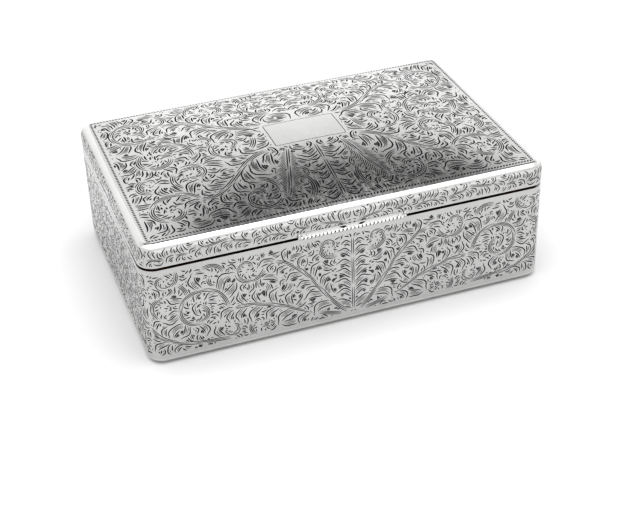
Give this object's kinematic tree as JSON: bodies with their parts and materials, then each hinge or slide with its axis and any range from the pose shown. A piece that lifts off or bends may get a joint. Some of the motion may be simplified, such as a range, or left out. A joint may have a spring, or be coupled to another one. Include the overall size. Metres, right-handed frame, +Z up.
{
  "type": "hinged table box",
  "caption": "Engraved silver table box with a hinged, gently domed lid, a thumb lift and a divided cedar lining.",
  "frame": {"origin": "under the middle of the box, on the table it stands on", "axes": "+X left to right along the box, +Y from the front with the thumb lift to the hinge at the back, +Z up"},
  "size_m": [0.178, 0.1186, 0.0641],
  "materials": {
    "silver_engraved": "satin",
    "silver_plain": "polished",
    "silver_lift": "polished",
    "hinge_pin_silver": "satin",
    "cedar": "satin",
    "baize": "matte"
  },
  "bodies": {
    "root": {"body_shell": "silver_engraved", "body_rim": "silver_plain", "body_hinge_bearer": "silver_plain", "body_knuckles": "silver_plain", "hinge_pin": "hinge_pin_silver", "base_pad": "baize", "liner_floor": "cedar", "liner_front": "cedar", "liner_back": "cedar", "liner_left": "cedar", "liner_right": "cedar", "liner_divider": "cedar"},
    "lid": {"lid_shell": "silver_engraved", "lid_rim": "silver_plain", "lid_hinge_bearer": "silver_plain", "lid_knuckles": "silver_plain", "thumb_lift": "silver_lift", "lid_panel": "cedar", "lid_strip_front": "cedar", "lid_strip_back": "cedar", "lid_strip_left": "cedar", "lid_strip_right": "cedar"}
  },
  "joints": [
    {"name": "lid_hinge", "type": "hinge", "parent": "root", "child": "lid", "pos_m": [0, 0.0575, 0.0466], "axis": [-1, 0, 0], "range_deg": [0, 100]}
  ]
}
